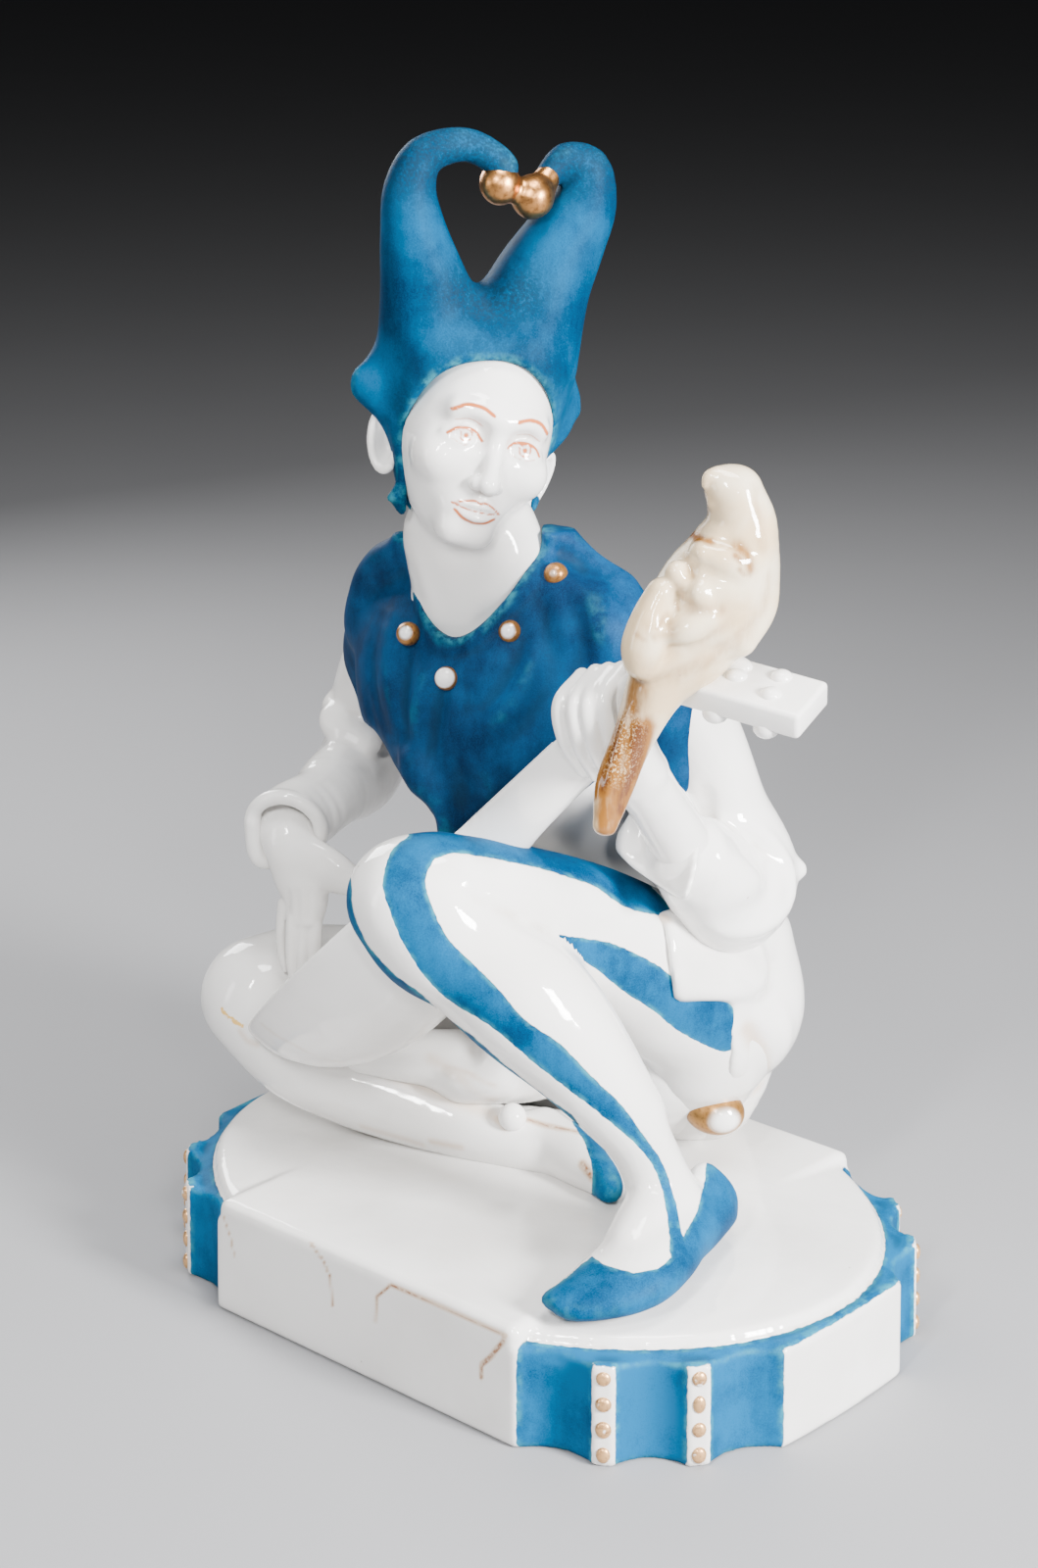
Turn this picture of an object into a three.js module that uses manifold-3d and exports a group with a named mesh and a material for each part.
// A seated jester with a lute and a parrot on a fluted oval plinth, one piece of glazed porcelain.
// Millimetres, +Z up. The origin is the middle of the plinth's underside and -Y is the plinth's front.
import * as THREE from 'three';
import { mergeVertices } from 'three/addons/utils/BufferGeometryUtils.js';
import Module from 'manifold-3d';

// Driving dimensions of the plinth
const plinthLength = 214;
const plinthWidth = 144;
const plinthHeight = 33.6;
const blockLength = 112;
const blockEdgeRadius = 2.6;
const blockDepth = 44;
const panelWidth = 50.8;
const panelBulge = 1;
const cornerBulge = 9;
const ribCount = 2;
const ribWidth = 6.4;
const fluteDepth = 3.6;
const beadCount = 4;
const beadRadius = 2;
const ribTop = 28.2;
const discLength = 208.4;
const discWidth = 157.4;
const discEdge = 31.4;
const discEdgeHeight = 2.8;
const draft = 0.009;

// Driving dimensions of the figure, from the top of the plinth to the top of the cap
const figureHeight = 288;
const mainViewTurn = 42.3;
const pommelRadius = 7;
const cornerBallRadius = 4.1;
const bellRadius = 5.6;
const buttonRadius = 3.2;
const pegRadius = 2.6;
const pegCount = 3;
const luteNeckWidth = 17;
const bowlWidth = 58;
const bowlDepth = 34;
const skirtFoldCount = 7;

// The pose is set out in parts, 288 to the figure's height. A place is given as it stands in the main
// view: across to the right, deep away from the eye, and high, with the floor at this share of the parts.
const poseParts = 288;
const floorShare = 0.1166667;
const part = figureHeight / poseParts;
const viewAngle = THREE.MathUtils.degToRad(mainViewTurn);
const acrossAxis = new THREE.Vector3(Math.cos(viewAngle), Math.sin(viewAngle), 0);
const deepAxis = new THREE.Vector3(-Math.sin(viewAngle), Math.cos(viewAngle), 0);
const upAxis = new THREE.Vector3(0, 0, 1);

const wasm = await Module();
wasm.setup();

function direction(across, deep, high) {
  return new THREE.Vector3()
    .addScaledVector(acrossAxis, across)
    .addScaledVector(deepAxis, deep)
    .addScaledVector(upAxis, high)
    .normalize();
}

function place(across, deep, high) {
  return new THREE.Vector3()
    .addScaledVector(acrossAxis, across * part)
    .addScaledVector(deepAxis, deep * part)
    .addScaledVector(upAxis, (high - floorShare * poseParts) * part + plinthHeight);
}

// Turns a closed three.js geometry into a solid that can be joined and cut.
function solid(geometry) {
  const plain = geometry.index ? geometry.toNonIndexed() : geometry.clone();
  plain.deleteAttribute('normal');
  plain.deleteAttribute('uv');
  const merged = mergeVertices(plain, 1e-4);
  const mesh = new wasm.Mesh({
    numProp: 3,
    vertProperties: new Float32Array(merged.attributes.position.array),
    triVerts: new Uint32Array(merged.index.array),
  });
  return new wasm.Manifold(mesh);
}

function joined(solids) {
  return solids.reduce((whole, next) => whole.add(next));
}

function geometryOf(manifold) {
  const mesh = manifold.getMesh();
  const geometry = new THREE.BufferGeometry();
  geometry.setAttribute('position', new THREE.BufferAttribute(new Float32Array(mesh.vertProperties), 3));
  geometry.setIndex(new THREE.BufferAttribute(new Uint32Array(mesh.triVerts), 1));
  geometry.computeVertexNormals();
  return geometry;
}

// Some direction at right angles to the given one.
function anyAcross(tangent) {
  const reference = Math.abs(tangent.z) < 0.7 ? upAxis : acrossAxis;
  return reference.clone().addScaledVector(tangent, -reference.dot(tangent)).normalize();
}

// A limb is a round-ended form along a smooth path. A station is [across, deep, high, radius] or
// [across, deep, high, sideRadius, otherRadius], with the side radius lying towards `side`.
function limb(stations, { side, sides = 10, steps = 1, dome = 1 } = {}) {
  const path = new THREE.CatmullRomCurve3(
    stations.map(([across, deep, high]) => place(across, deep, high)), false, 'centripetal');
  const spans = stations.length - 1;
  const domeAngles = [0, 48].map((angle) => THREE.MathUtils.degToRad(angle));
  const rings = [];
  for (const angle of domeAngles) {
    rings.push({ at: 0, beyond: -Math.cos(angle) * dome, swell: Math.sin(angle) });
  }
  for (let step = 0; step <= spans * steps; step++) {
    rings.push({ at: step / (spans * steps), beyond: 0, swell: 1 });
  }
  for (const angle of [...domeAngles].reverse()) {
    rings.push({ at: 1, beyond: Math.cos(angle) * dome, swell: Math.sin(angle) });
  }
  const shape = new THREE.SphereGeometry(1, sides, rings.length - 1);
  const grid = shape.attributes.position;
  let carried = side ?? anyAcross(path.getTangent(0));
  rings.forEach((ring, row) => {
    const station = Math.min(Math.floor(ring.at * spans), spans - 1);
    const blend = THREE.MathUtils.smoothstep(ring.at * spans - station, 0, 1);
    const [from, to] = [stations[station], stations[station + 1]];
    const sideRadius = THREE.MathUtils.lerp(from[3], to[3], blend) * part;
    const otherRadius = THREE.MathUtils.lerp(from[4] ?? from[3], to[4] ?? to[3], blend) * part;
    const tangent = path.getTangent(ring.at);
    const reference = side ?? carried;
    const sideways = reference.clone().addScaledVector(tangent, -reference.dot(tangent)).normalize();
    carried = sideways;
    const other = tangent.clone().cross(sideways);
    const centre = path.getPoint(ring.at)
      .addScaledVector(tangent, ring.beyond * Math.min(sideRadius, otherRadius));
    for (let column = 0; column <= sides; column++) {
      const turn = (column % sides) / sides * 2 * Math.PI;
      const point = centre.clone()
        .addScaledVector(sideways, Math.cos(turn) * sideRadius * ring.swell)
        .addScaledVector(other, Math.sin(turn) * otherRadius * ring.swell);
      grid.setXYZ(row * (sides + 1) + column, point.x, point.y, point.z);
    }
  });
  return facingOut(solid(shape), shape);
}

// A form whose rows run the other way round is turned right side out.
function facingOut(manifold, geometry) {
  if (manifold.volume() > 0) {
    return manifold;
  }
  const flat = geometry.index ? geometry.toNonIndexed() : geometry.clone();
  const grid = flat.attributes.position;
  const corner = new THREE.Vector3();
  const opposite = new THREE.Vector3();
  for (let first = 0; first < grid.count; first += 3) {
    corner.fromBufferAttribute(grid, first);
    opposite.fromBufferAttribute(grid, first + 2);
    grid.setXYZ(first, opposite.x, opposite.y, opposite.z);
    grid.setXYZ(first + 2, corner.x, corner.y, corner.z);
  }
  return solid(flat);
}

// A form with three half-sizes along three crossing directions: a ball, a skull, a pad.
function ball(centre, radius, { detail = 12, sizes = [1, 1, 1], side, front } = {}) {
  const shape = new THREE.SphereGeometry(radius, detail, Math.ceil(detail / 2));
  const sideAxis = side ?? acrossAxis;
  const frontAxis = front ?? deepAxis;
  const topAxis = sideAxis.clone().cross(frontAxis).normalize();
  const basis = new THREE.Matrix4().makeBasis(sideAxis, frontAxis, topAxis);
  shape.rotateX(Math.PI / 2);
  shape.scale(...sizes);
  shape.applyMatrix4(basis);
  shape.translate(centre.x, centre.y, centre.z);
  return solid(shape);
}

// Plinth

// One flute between two ribs: an arc hollowed into the plinth's side, as points after its start.
function flutePoints(start, end, depth, count = 4) {
  const points = [];
  const along = end.clone().sub(start);
  const inward = new THREE.Vector2(-along.y, along.x).normalize();
  if (inward.dot(start) > 0) {
    inward.negate();
  }
  for (let step = 1; step <= count; step++) {
    const share = step / count;
    const hollow = depth * Math.sin(Math.PI * share);
    points.push(start.clone().addScaledVector(along, share).addScaledVector(inward, hollow));
  }
  return points;
}

// The middles of the ribs on one corner's arc, between the block's corner and the panel's corner.
function cornerArc() {
  const from = new THREE.Vector2(blockLength / 2, plinthWidth / 2);
  const to = new THREE.Vector2(plinthLength / 2, panelWidth / 2);
  const chord = to.clone().sub(from);
  const halfChord = chord.length() / 2;
  const radius = (halfChord ** 2 + cornerBulge ** 2) / (2 * cornerBulge);
  const outward = new THREE.Vector2(-chord.y, chord.x).normalize();
  const middle = from.clone().addScaledVector(chord, 0.5);
  if (outward.dot(middle) < 0) {
    outward.negate();
  }
  const centre = middle.clone().addScaledVector(outward, cornerBulge - radius);
  const halfTurn = Math.asin(halfChord / radius);
  const onArc = (share) => {
    const turn = THREE.MathUtils.lerp(-halfTurn, halfTurn, share);
    return centre.clone()
      .addScaledVector(outward, radius * Math.cos(turn))
      .addScaledVector(chord.clone().normalize(), radius * Math.sin(turn));
  };
  return { onArc, halfTurn, radius, from, to, centre };
}

// The two edges and the outward direction of each rib of the corner with x and y positive.
function cornerRibs() {
  const arc = cornerArc();
  const halfShare = ribWidth / 2 / (2 * arc.halfTurn * arc.radius);
  const ribs = [];
  for (let rib = 1; rib <= ribCount; rib++) {
    const share = rib / (ribCount + 1);
    const middle = arc.onArc(share);
    ribs.push({
      start: arc.onArc(share - halfShare),
      end: arc.onArc(share + halfShare),
      middle,
      outward: middle.clone().sub(arc.centre).normalize(),
    });
  }
  return ribs;
}

function cornerOutline() {
  const { from, to } = cornerArc();
  const ribs = cornerRibs();
  const points = [from];
  let last = from;
  for (const rib of ribs) {
    points.push(...flutePoints(last, rib.start, fluteDepth));
    points.push(rib.end);
    last = rib.end;
  }
  points.push(...flutePoints(last, to, fluteDepth));
  return points;
}

function plinthOutline() {
  const corner = cornerOutline();
  const mirrored = (signX, signY) => corner.map((point) => new THREE.Vector2(point.x * signX, point.y * signY));
  const panelMiddle = (signX) => new THREE.Vector2(signX * (plinthLength / 2 + panelBulge), 0);
  const points = [
    ...mirrored(1, -1), panelMiddle(1), ...mirrored(1, 1).reverse(),
    ...mirrored(-1, 1), panelMiddle(-1), ...mirrored(-1, -1).reverse(),
  ];
  return new THREE.Shape(points);
}

function plinthWall() {
  const shape = new THREE.ExtrudeGeometry(plinthOutline(), { depth: ribTop, bevelEnabled: false });
  return solid(shape);
}

// The raised block at the front or the back, its top edges rounded.
function plinthBlock(sign) {
  const half = blockLength / 2 - blockEdgeRadius;
  const face = plinthWidth / 2 - blockEdgeRadius;
  const back = face - blockDepth;
  const rectangle = new THREE.Shape([
    new THREE.Vector2(-half, back), new THREE.Vector2(half, back),
    new THREE.Vector2(half, face), new THREE.Vector2(-half, face),
  ]);
  const shape = new THREE.ExtrudeGeometry(rectangle, {
    depth: plinthHeight, bevelSize: blockEdgeRadius, bevelThickness: blockEdgeRadius, bevelSegments: 2,
  });
  shape.translate(0, 0, -blockEdgeRadius);
  shape.rotateZ(sign > 0 ? 0 : Math.PI);
  return solid(shape);
}

function plinthPanel(sign) {
  const edge = 1.6;
  const half = panelWidth / 2 - edge;
  const face = plinthLength / 2 - edge;
  const outline = new THREE.Shape([
    new THREE.Vector2(face - blockDepth, -half), new THREE.Vector2(face, -half),
    new THREE.Vector2(face + panelBulge, 0), new THREE.Vector2(face, half),
    new THREE.Vector2(face - blockDepth, half),
  ]);
  const shape = new THREE.ExtrudeGeometry(outline, {
    depth: ribTop - edge, bevelSize: edge, bevelThickness: edge, bevelSegments: 1,
  });
  shape.translate(0, 0, -edge);
  shape.rotateZ(sign > 0 ? 0 : Math.PI);
  return solid(shape);
}

// The slightly domed oval top, cut off behind the faces of the two blocks.
function plinthDisc() {
  const domeHeight = plinthHeight + 0.4;
  const profile = [
    new THREE.Vector2(0, ribTop - 6), new THREE.Vector2(0.93, ribTop - 6),
    new THREE.Vector2(1, discEdge - discEdgeHeight + 1), new THREE.Vector2(1, discEdge - 0.6),
    new THREE.Vector2(0.98, discEdge + 0.2), new THREE.Vector2(0.7, domeHeight), new THREE.Vector2(0, domeHeight),
  ];
  const shape = new THREE.LatheGeometry(profile, 36);
  shape.rotateX(Math.PI / 2);
  shape.scale(discLength / 2, discWidth / 2, 1);
  const limit = new THREE.BoxGeometry(plinthLength * 2, plinthWidth - 2 * blockEdgeRadius, plinthHeight * 4);
  return facingOut(solid(shape), shape).intersect(solid(limit));
}

// Rows of beads up the ribs of all four corners.
function plinthBeads() {
  const beads = [];
  const pitch = ribTop / beadCount;
  for (const rib of cornerRibs()) {
    for (const [signX, signY] of [[1, 1], [1, -1], [-1, 1], [-1, -1]]) {
      for (let row = 0; row < beadCount; row++) {
        const shape = new THREE.SphereGeometry(beadRadius, 6, 2);
        const seat = rib.middle.clone().addScaledVector(rib.outward, 0.1);
        shape.translate(seat.x * signX, seat.y * signY, (row + 0.5) * pitch);
        beads.push(solid(shape));
      }
    }
  }
  return joined(beads);
}

function plinth() {
  const whole = joined([
    plinthWall(), plinthBlock(1), plinthBlock(-1), plinthPanel(1), plinthPanel(-1), plinthDisc(), plinthBeads(),
  ]);
  return whole.warp((point) => {
    const shrink = 1 - draft * Math.max(point[2], 0) / plinthHeight;
    point[0] *= shrink;
    point[1] *= shrink;
  });
}

// Figure

const plinthFront = new THREE.Vector3(1, 0, 0);
const frontInView = new THREE.Vector2(Math.cos(viewAngle), -Math.sin(viewAngle));
const backInView = new THREE.Vector2(Math.sin(viewAngle), Math.cos(viewAngle));
const shoulderLine = direction(0.74, -0.67, 0.06);
const faceForward = direction(0.26, -0.96, 0.02);
const faceSide = direction(0.91, 0.27, -0.3);

function legs() {
  const thighLeft = limb([
    [48, 19, 75, 22], [31, 5, 92, 21.6], [13, -8, 108, 19.5], [-8, -23, 121, 18], [-26, -34, 130, 16],
  ], { sides: 10 });
  const shinLeft = limb([
    [-34, -36, 129, 16.5], [-27, -37, 121, 17.6], [-18, -38, 115, 17], [-3, -41, 102, 17], [10, -44, 88, 13.5],
    [19, -46, 76, 10.5], [26, -48, 66, 8.6], [33, -49, 50, 8.6],
  ], { sides: 10 });
  const thighRight = limb([
    [26, 50, 50, 23], [-9, 54, 56, 21], [-43, 54, 66, 19], [-70, 50, 71, 17], [-81, 46, 70, 16],
  ], { sides: 10 });
  const shinRight = limb([
    [-82, 45, 68, 16], [-70, 35, 56, 14], [-51, 28, 48, 12.5], [-31, 20, 43, 10.5], [-14, 13, 40, 9],
    [3, 6, 39, 8.5],
  ], { sides: 10 });
  const footSide = direction(0.74, -0.67, 0);
  const shoeLeft = limb([
    [45, -40, 42, 8, 8.5], [39, -45, 42.5, 9, 9.5], [31, -51, 43, 9.5, 10.5], [21, -59, 39.5, 10, 7.5],
    [12, -67, 37, 9, 5], [5, -73, 36, 6, 4], [0, -77, 36.5, 2.5, 2],
  ], { side: footSide, sides: 10 });
  const shoeRight = limb([
    [1, 8, 40, 9, 9], [9, -3, 40, 8.5, 9], [14, -14, 38, 8, 6], [18, -24, 36.5, 6, 4], [20, -30, 36, 3, 3],
  ], { side: direction(0.8, 0.3, 0), sides: 10 });
  return [thighLeft, shinLeft, thighRight, shinRight, shoeLeft, shoeRight];
}

function tunic() {
  const trunk = limb([
    [33, 34, 62, 31, 28], [28, 36, 88, 29, 24], [15, 37, 118, 27, 21], [0, 32, 145, 36, 24],
    [-10, 29, 168, 41, 24], [-13, 28, 184, 36, 18], [-14, 27, 194, 18, 13],
  ], { side: shoulderLine, sides: 12 });
  const skirt = limb([
    [24, 34, 104, 29, 25], [31, 35, 84, 34, 28], [34, 38, 62, 35, 26], [35, 41, 45, 31, 21], [35, 42, 36, 27, 17],
  ], { side: plinthFront, sides: 16, dome: 0.15 });
  const lap = limb([
    [20, 16, 86, 22, 16], [6, 17, 68, 21, 13], [-7, 20, 56, 18, 9], [-18, 24, 46, 13, 6],
  ], { side: direction(0.9, 0.4, 0), sides: 10 });
  const flap = limb([
    [44, -2, 92, 12, 6], [52, -6, 84, 13, 4], [58, -6, 76, 12, 3],
  ], { side: direction(0.2, 0.9, 0.3), sides: 10 });
  const seat = limb([
    [53, 22, 96, 16], [50, 20, 78, 21], [45, 22, 60, 19], [43, 30, 46, 15], [42, 36, 38, 12],
  ], { sides: 10 });
  return [trunk, skirt, lap, flap, seat, ...skirtFolds()];
}

// Folds that run down the skirt from the waist to the hem, round its back and its left side.
function skirtFolds() {
  const folds = [];
  for (let fold = 0; fold < skirtFoldCount; fold++) {
    const turn = THREE.MathUtils.degToRad(-24 + 196 * fold / (skirtFoldCount - 1));
    const swing = 4 * Math.sin(fold * 2.4);
    const at = (across, deep, high, sideReach, backReach, radius) => {
      const middle = new THREE.Vector2(across, deep);
      middle.addScaledVector(frontInView, Math.cos(turn) * sideReach);
      middle.addScaledVector(backInView, Math.sin(turn) * backReach);
      return [middle.x, middle.y, high, radius];
    };
    folds.push(limb([
      at(24, 34, 100, 27, 23, 3), at(31, 35, 82, 32, 27, 4.2),
      at(34, 38, 62 + swing, 34, 27, 4.4), at(35, 41, 39, 27, 18, 4),
    ], { sides: 5 }));
  }
  return folds;
}

function tabard() {
  const cape = limb([
    [-4, 23, 143, 37, 26], [-10, 25, 158, 44.5, 29], [-13, 26, 176, 46, 27], [-13, 27, 190, 38, 21],
    [-13, 26, 200, 20, 15],
  ], { side: shoulderLine, sides: 16, dome: 0.4 });
  const yoke = limb([
    [-41, 54, 182, 13], [-28, 42, 190, 14], [-13, 28, 193, 15], [3, 14, 194, 14.5], [16, 4, 191, 14],
  ], { sides: 10 });
  const rightFall = limb([
    [-37, 54, 180, 15], [-42, 68, 168, 14.5], [-43, 76, 152, 14],
  ], { sides: 10 });
  const leftFall = limb([
    [14, 6, 188, 15], [29, 3, 180, 14], [35, 6, 166, 13.5], [34, 10, 146, 12],
  ], { sides: 10 });
  const front = limb([
    [-14, 13, 174, 22, 12], [-17, 11, 155, 20, 12], [-18, 11, 142, 17, 9],
  ], { side: direction(0.9, -0.4, 0), sides: 10 });
  const collar = limb([
    [-15, 24, 196, 19, 16], [-14, 24, 205, 16, 14],
  ], { side: shoulderLine, sides: 14, dome: 0.3 });
  return [cape, yoke, rightFall, leftFall, front, collar];
}

function head() {
  const neck = limb([[-17, 24, 190, 16], [-17, 23, 206, 13.5], [-16, 20, 224, 14]], { sides: 10 });
  const skull = ball(place(-17, 20, 244), 1, {
    detail: 14, sizes: [20.5 * part, 24 * part, 27 * part], side: faceSide, front: faceForward,
  });
  const jaw = limb([[-17, 14, 236, 18, 15], [-16, 6, 221, 11, 10]], { side: faceSide, sides: 10 });
  const nose = limb([[-13, -2, 244, 1.8], [-12, -5.5, 236, 2.6]], { sides: 7 });
  const earRight = ball(place(-39.5, 17, 235), 1, {
    detail: 8, sizes: [3 * part, 5 * part, 8 * part], side: faceSide, front: faceForward,
  });
  const earLeft = ball(place(1.5, 29, 228), 1, {
    detail: 8, sizes: [3 * part, 5 * part, 8 * part], side: faceSide, front: faceForward,
  });
  return [neck, skull, jaw, nose, earRight, earLeft];
}

function cap() {
  const crown = ball(place(-17, 24, 254), 1, {
    detail: 14, sizes: [25 * part, 25 * part, 24 * part], side: faceSide, front: faceForward,
  });
  const nape = limb([[-17, 34, 244, 24, 16], [-18, 36, 222, 21, 12], [-20, 34, 210, 15, 8]], {
    side: faceSide, sides: 14,
  });
  const hornRight = limb([
    [-27, 20, 262, 16], [-30, 16, 278, 12], [-33, 13, 294, 8.6], [-33.8, 12, 305, 6.8], [-30.5, 12, 313.5, 5.4],
    [-23, 13, 316.5, 4.2], [-14, 14, 315, 3.6], [-8, 14, 311, 2.6],
  ], { side: deepAxis, sides: 10, steps: 2 });
  const hornLeft = limb([
    [-6, 22, 262, 16], [0, 24, 279, 13.2], [6, 26, 290, 10.8], [11.5, 27, 300, 8.4], [12, 26, 309, 5.8],
    [6, 24, 311, 4.2], [0, 22, 308, 3],
  ], { side: deepAxis, sides: 10, steps: 2 });
  const wingRight = limb([[-34, 18, 256, 10, 12], [-46, 16, 253, 4.5, 6]], { side: upAxis, sides: 8 });
  const wingLeft = limb([[-2, 28, 248, 9, 11], [8, 31, 242, 4.5, 5]], { side: upAxis, sides: 8 });
  const bellRight = ball(place(-10.6, 14, 307), bellRadius * part, { detail: 12 });
  const bellLeft = ball(place(-1.3, 19, 302.5), bellRadius * part, { detail: 12 });
  return [crown, nape, hornRight, hornLeft, wingRight, wingLeft, bellRight, bellLeft];
}

// A hand with a palm and fingers. A finger is its root, its middle joint and its tip.
function fingers(rows, radius) {
  return rows.map((row) => limb(row.map((joint) => [...joint, radius]), { sides: 5 }));
}

function rightArm() {
  const sleeve = limb([
    [-47, 80, 152, 12.5], [-50, 93, 132, 13.5], [-54, 78, 127, 13], [-59, 60, 128, 11.5], [-63, 48, 127, 10],
  ], { sides: 10 });
  const cuff = limb([[-62, 50, 127, 11.5], [-68, 42, 124, 12], [-72, 36, 121, 12.5]], { sides: 14, dome: 0.25 });
  const palm = limb([
    [-71, 38, 121, 6, 6], [-71, 35, 112, 5.4, 5.4], [-68, 33, 103, 8.5, 5], [-67, 31, 96, 8, 4],
  ], { side: direction(1, -0.2, 0), sides: 10 });
  const digits = fingers([
    [[-71, 31, 98], [-72.5, 32, 88], [-71, 32, 82]],
    [[-69, 31, 96], [-69.5, 29, 86], [-69, 28, 79]],
    [[-66, 31, 96], [-66.5, 29, 87], [-68, 28, 79]],
    [[-63.5, 31, 98], [-64, 29, 90], [-66, 28, 82]],
    [[-65, 32, 110], [-57, 31, 108], [-50, 30, 108]],
  ], 2.3);
  return [sleeve, cuff, palm, ...digits];
}

function leftArm() {
  const sleeve = limb([
    [34, 3, 178, 11], [44, 5, 160, 10.5], [50, 8, 140, 11.8], [57, 9, 121, 14.4], [53, 0, 116, 15.5],
    [46, -9, 126, 15], [36, -21, 140, 12],
  ], { sides: 14 });
  const cuff = limb([[40, -16, 133, 14], [33, -25, 144, 15.5]], { sides: 14, dome: 0.25 });
  const wrist = limb([[34, -24, 144, 8.5], [26, -33, 160, 7.5], [21, -37, 168, 9]], { sides: 10 });
  const palm = limb([[22, -36, 168, 10, 9], [17, -37, 178, 11, 9], [13, -36, 186, 9, 8]], {
    side: direction(0.4, 0.9, 0), sides: 10,
  });
  const digits = fingers([
    [[22, -46, 184], [12, -46, 186], [6, -38, 182]],
    [[20, -46, 179], [10, -46, 181], [5, -38, 177]],
    [[19, -45, 174], [10, -45, 176], [6, -38, 172]],
    [[19, -44, 169], [12, -44, 170], [8, -38, 167]],
  ], 3);
  const grip = ball(place(18, -43, 180), 7 * part, { detail: 8 });
  return [sleeve, cuff, wrist, palm, grip, ...digits];
}

// The lute's axis runs from the end of its bowl to its nut. Its soundboard faces up and to the left.
const luteEnd = place(-75, 30, 72);
const luteNut = place(25, -44, 195);
const luteAxis = luteNut.clone().sub(luteEnd).normalize();
const boardWay = direction(-0.609, 0.322, 0.722);
const boardNormal = boardWay.clone().addScaledVector(luteAxis, -boardWay.dot(luteAxis)).normalize();
const boardSide = luteAxis.clone().cross(boardNormal);

function lute() {
  const length = luteNut.distanceTo(luteEnd);
  // Each row is a share of the length, and shares of the bowl's half width and of its depth.
  const rows = [
    [0.0, 0.12, 0.12], [0.025, 0.42, 0.45], [0.08, 0.7, 0.74], [0.14, 0.87, 0.9], [0.2, 0.97, 0.99],
    [0.27, 1, 1], [0.37, 0.9, 0.9], [0.47, 0.66, 0.7], [0.57, 0.4, 0.5],
  ];
  const body = ringed(rows.map(([share, width, depth]) => ({
    centre: luteEnd.clone().addScaledVector(luteAxis, share * length),
    side: bowlWidth / 2 * width,
    other: bowlDepth * depth,
  })), 20);
  const neck = ringed([0.45, 0.6, 0.8, 1].map((share) => ({
    centre: luteEnd.clone().addScaledVector(luteAxis, share * length),
    side: luteNeckWidth / 2,
    other: THREE.MathUtils.lerp(17, 12, share),
  })), 12);
  const board = new THREE.BoxGeometry(length * 3, length, length);
  board.translate(0, 0, length / 2);
  board.applyMatrix4(new THREE.Matrix4().makeBasis(luteAxis, boardSide.clone().negate(), boardNormal));
  board.translate(luteEnd.x, luteEnd.y, luteEnd.z);
  return [body.add(neck).subtract(solid(board)), ...pegbox()];
}

// Rings round the lute's axis, closed at both ends.
function ringed(rings, sides) {
  const shape = new THREE.SphereGeometry(1, sides, rings.length + 1);
  const grid = shape.attributes.position;
  const rows = [{ ...rings[0], side: 0, other: 0 }, ...rings, { ...rings[rings.length - 1], side: 0, other: 0 }];
  rows.forEach((ring, row) => {
    for (let column = 0; column <= sides; column++) {
      const turn = (column % sides) / sides * 2 * Math.PI;
      const point = ring.centre.clone()
        .addScaledVector(boardSide, Math.cos(turn) * ring.side)
        .addScaledVector(boardNormal, Math.sin(turn) * ring.other);
      grid.setXYZ(row * (sides + 1) + column, point.x, point.y, point.z);
    }
  });
  return facingOut(solid(shape), shape);
}

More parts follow.
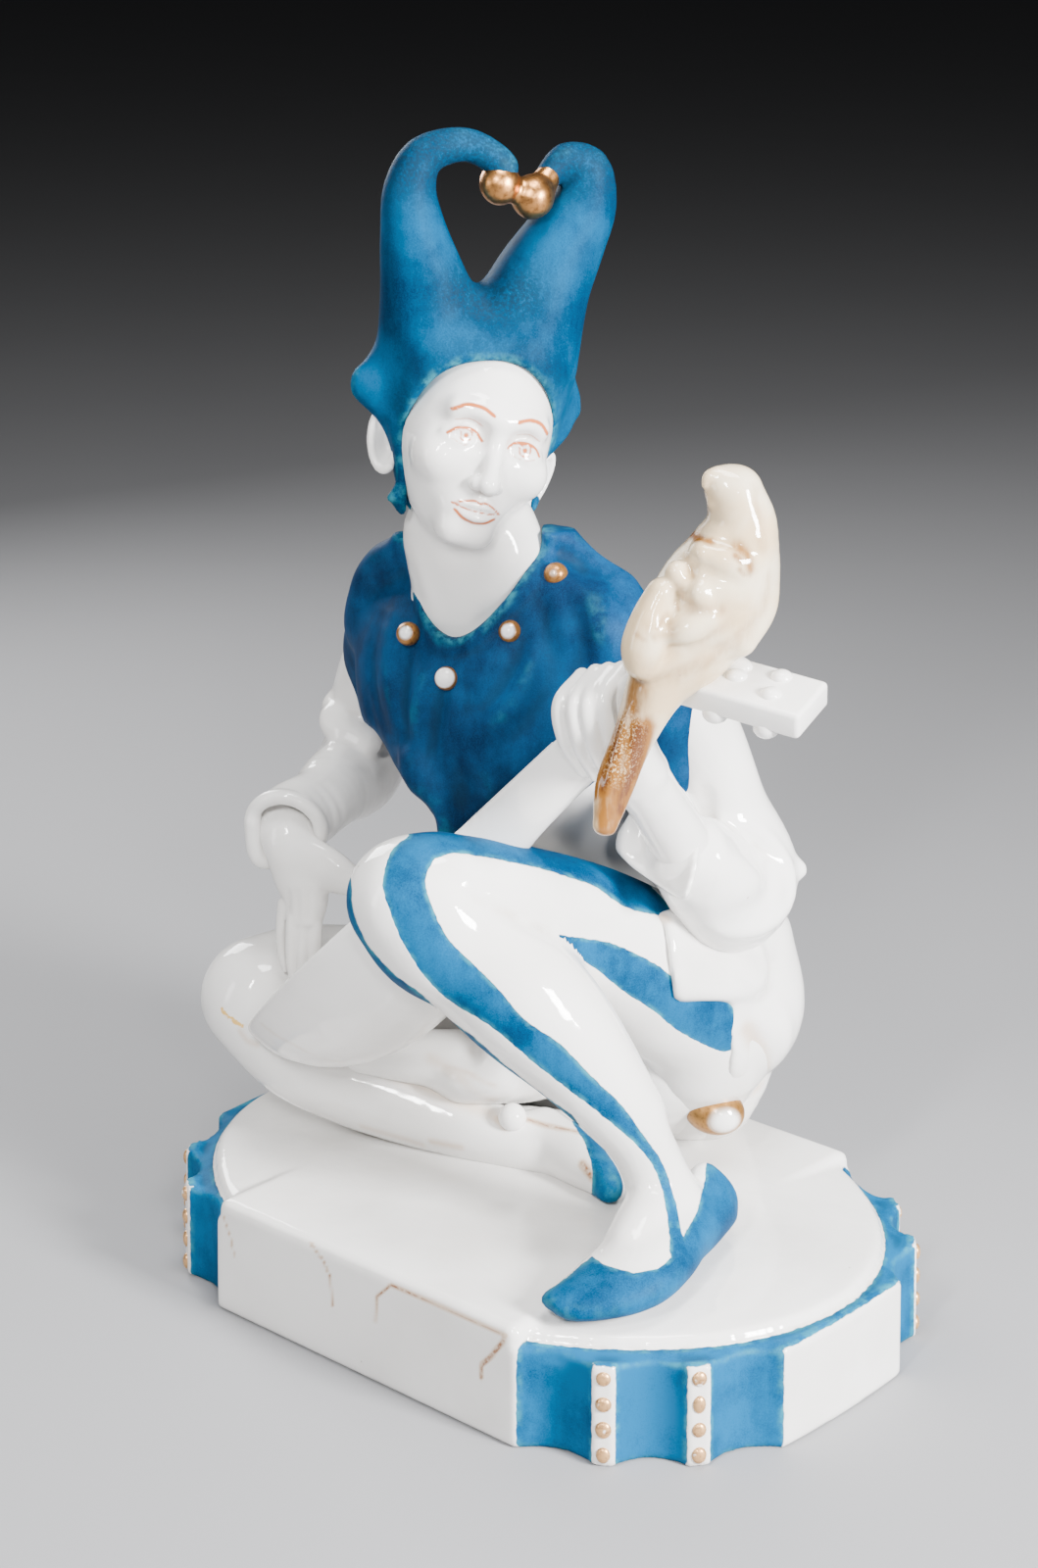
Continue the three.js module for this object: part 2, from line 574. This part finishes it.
function pegbox() {
  const length = 41 * part;
  const thickness = 7 * part;
  const along = direction(0.857, -0.5, -0.12);
  const across = direction(-0.5, -0.8, -0.3);
  const sideways = across.clone().addScaledVector(along, -across.dot(along)).normalize();
  const face = sideways.clone().cross(along).normalize();
  const start = place(31, -44, 193.5);
  const shape = new THREE.BoxGeometry(length, luteNeckWidth, thickness);
  shape.translate(length / 2, 0, 0);
  const frame = new THREE.Matrix4().makeBasis(along, sideways, along.clone().cross(sideways));
  frame.setPosition(start);
  shape.applyMatrix4(frame);
  const pieces = [solid(shape)];
  for (const sign of [-1, 1]) {
    for (let peg = 0; peg < pegCount; peg++) {
      const reach = length * (0.45 + 0.2 * peg);
      const centre = start.clone().addScaledVector(along, reach)
        .addScaledVector(sideways, sign * luteNeckWidth * 0.24)
        .addScaledVector(face, sign * thickness * 0.55);
      pieces.push(ball(centre, pegRadius * part, { detail: 6 }));
    }
  }
  return pieces;
}

function parrot() {
  const body = limb([
    [48.2, -54, 240, 8, 8.6], [48, -54, 231, 8.6, 8.8], [45.8, -54, 223, 12, 11], [42, -53, 215, 14.2, 13],
    [35.5, -53, 204.5, 13, 12], [29, -55, 194, 8, 8], [22.6, -57, 180, 5.4, 4.6], [17.8, -59, 167, 4.9, 3.4],
    [15.4, -61, 157.5, 3.2, 2.4],
  ], { side: direction(1, 0.2, 0), sides: 14 });
  const beak = limb([[43, -56, 244, 3.6], [40.2, -56.5, 245.5, 2], [39.4, -57, 242.5, 1.1]], { sides: 8 });
  const wing = limb([[54, -58, 222, 5, 3.5], [49, -64, 209, 7, 3.5], [39, -63, 198, 5, 3]], {
    side: direction(1, 0.3, 0.3), sides: 8,
  });
  return [body, beak, wing];
}

function ornaments() {
  const pommel = ball(place(50.5, 17, 45), pommelRadius * part, { detail: 12, sizes: [1.2, 1, 0.94] });
  const cornerBall = ball(place(-7.6, 6, 48.4), cornerBallRadius * part, { detail: 10 });
  const buttons = [
    [4, 4.5, 205.5], [-8, 0, 191], [-25, 1, 178], [-34, 13, 187], [-36, 38, 200.5],
  ].map(([across, deep, high]) => ball(place(across, deep, high), buttonRadius * part, { detail: 6 }));
  return [pommel, cornerBall, ...buttons];
}

function figure() {
  const floor = new THREE.BoxGeometry(plinthLength * 3, plinthLength * 3, plinthLength);
  floor.translate(0, 0, -plinthLength / 2);
  const forms = [
    plinth(), ...legs(), ...tunic(), ...tabard(), ...head(), ...cap(), ...rightArm(), ...leftArm(),
    ...lute(), ...parrot(), ...ornaments(),
  ];
  return joined(forms).subtract(solid(floor));
}

const porcelain = new THREE.MeshStandardMaterial({ color: 0xf1efeb, roughness: 0.14, metalness: 0 });
const jester = new THREE.Mesh(geometryOf(figure()), porcelain);
jester.name = 'jester_figure';

const model = new THREE.Group();
model.add(jester);

export default model;
